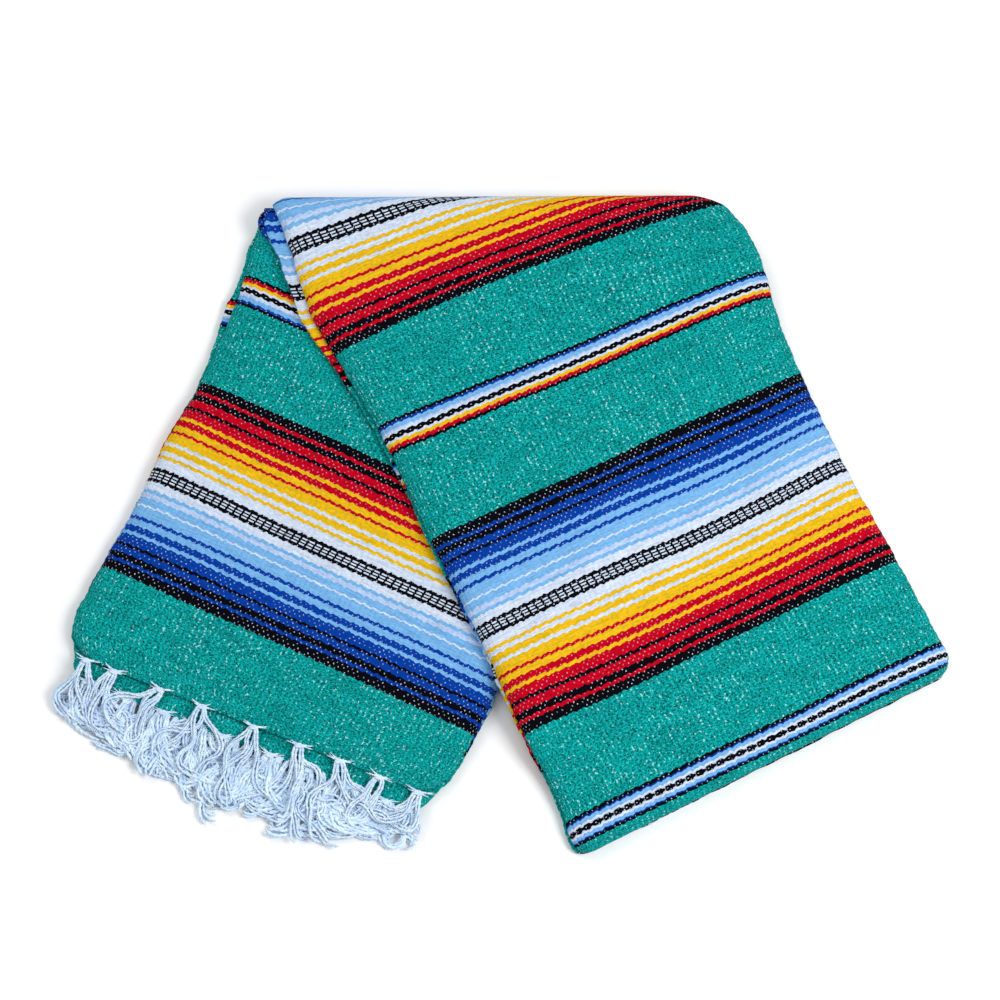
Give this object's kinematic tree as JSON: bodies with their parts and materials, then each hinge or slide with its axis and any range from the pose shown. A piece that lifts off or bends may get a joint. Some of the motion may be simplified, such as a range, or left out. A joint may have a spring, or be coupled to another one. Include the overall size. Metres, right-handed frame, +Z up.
{
  "type": "folded mexican serape",
  "caption": "Woven serape blanket, folded to a long packet and laid over itself at a slant, with striped bands and a knotted white fringe.",
  "frame": {"origin": "middle of the bounding box, on the surface that the folded serape lies on", "axes": "+Z up from the surface, +Y from the fringed hems towards the ridge, +X towards the leg that ends in a fold"},
  "size_m": [0.6667, 0.5258, 0.034],
  "materials": {
    "woven_wool": "dull weft-faced weave, teal ground with bands of black, blue, white, yellow and red",
    "white_cotton": "dull twisted cotton thread"
  },
  "bodies": {
    "root": {"left_leg_outer_layer": "woven_wool", "left_leg_second_layer": "woven_wool", "left_leg_hidden_layers": "woven_wool", "right_leg_outer_layer": "woven_wool", "right_leg_second_layer": "woven_wool", "right_leg_hidden_layers": "woven_wool", "upper_fringe": "white_cotton", "lower_fringe": "white_cotton"}
  },
  "joints": []
}
